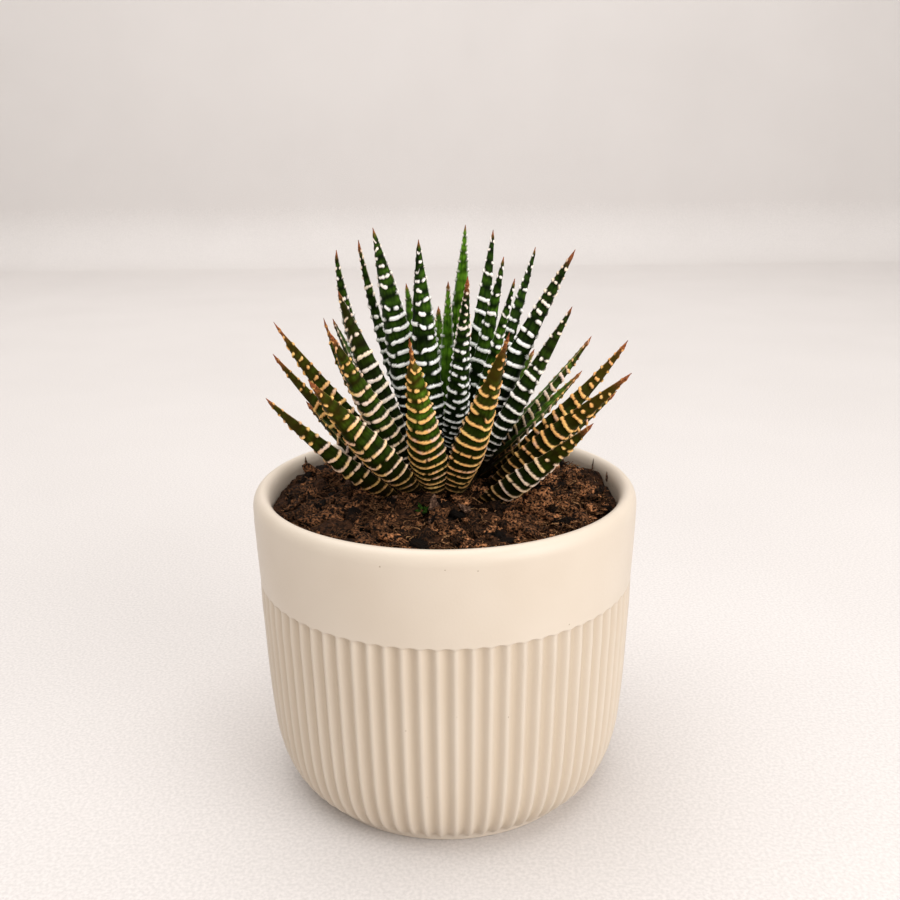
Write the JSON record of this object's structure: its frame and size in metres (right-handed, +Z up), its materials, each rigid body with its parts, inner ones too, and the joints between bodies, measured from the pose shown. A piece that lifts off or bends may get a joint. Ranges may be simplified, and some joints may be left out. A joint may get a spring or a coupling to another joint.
{
  "type": "potted haworthia",
  "caption": "Rosette of tapered, cross-banded succulent leaves on a short stem, in soil in a round fluted ceramic pot.",
  "frame": {"origin": "on the pot's axis, at the level of the surface that the pot stands on", "axes": "+Z up along the pot's axis; -Y is the front of the plant"},
  "size_m": [0.1, 0.1, 0.1477],
  "materials": {
    "glaze": "satin cream glaze",
    "bark_soil": "coarse bark and coir, matte",
    "stem": "pale green, fleshy",
    "leaf": "dark green, fleshy, satin, with raised pale bands"
  },
  "bodies": {
    "root": {"pot": "glaze", "soil": "bark_soil", "stem": "stem", "leaf_01": "leaf", "leaf_02": "leaf", "leaf_03": "leaf", "leaf_04": "leaf", "leaf_05": "leaf", "leaf_06": "leaf", "leaf_07": "leaf", "leaf_08": "leaf", "leaf_09": "leaf", "leaf_10": "leaf", "leaf_11": "leaf", "leaf_12": "leaf", "leaf_13": "leaf", "leaf_14": "leaf", "leaf_15": "leaf", "leaf_16": "leaf", "leaf_17": "leaf", "leaf_18": "leaf", "leaf_19": "leaf", "leaf_20": "leaf", "leaf_21": "leaf", "leaf_22": "leaf", "leaf_23": "leaf", "leaf_24": "leaf", "leaf_25": "leaf", "leaf_26": "leaf", "leaf_27": "leaf", "leaf_28": "leaf", "leaf_29": "leaf", "leaf_30": "leaf", "leaf_31": "leaf", "leaf_32": "leaf", "leaf_33": "leaf", "leaf_34": "leaf", "leaf_35": "leaf", "leaf_36": "leaf", "leaf_37": "leaf", "leaf_38": "leaf", "leaf_39": "leaf", "leaf_40": "leaf", "leaf_41": "leaf", "leaf_42": "leaf", "leaf_43": "leaf", "leaf_44": "leaf"}
  },
  "joints": []
}
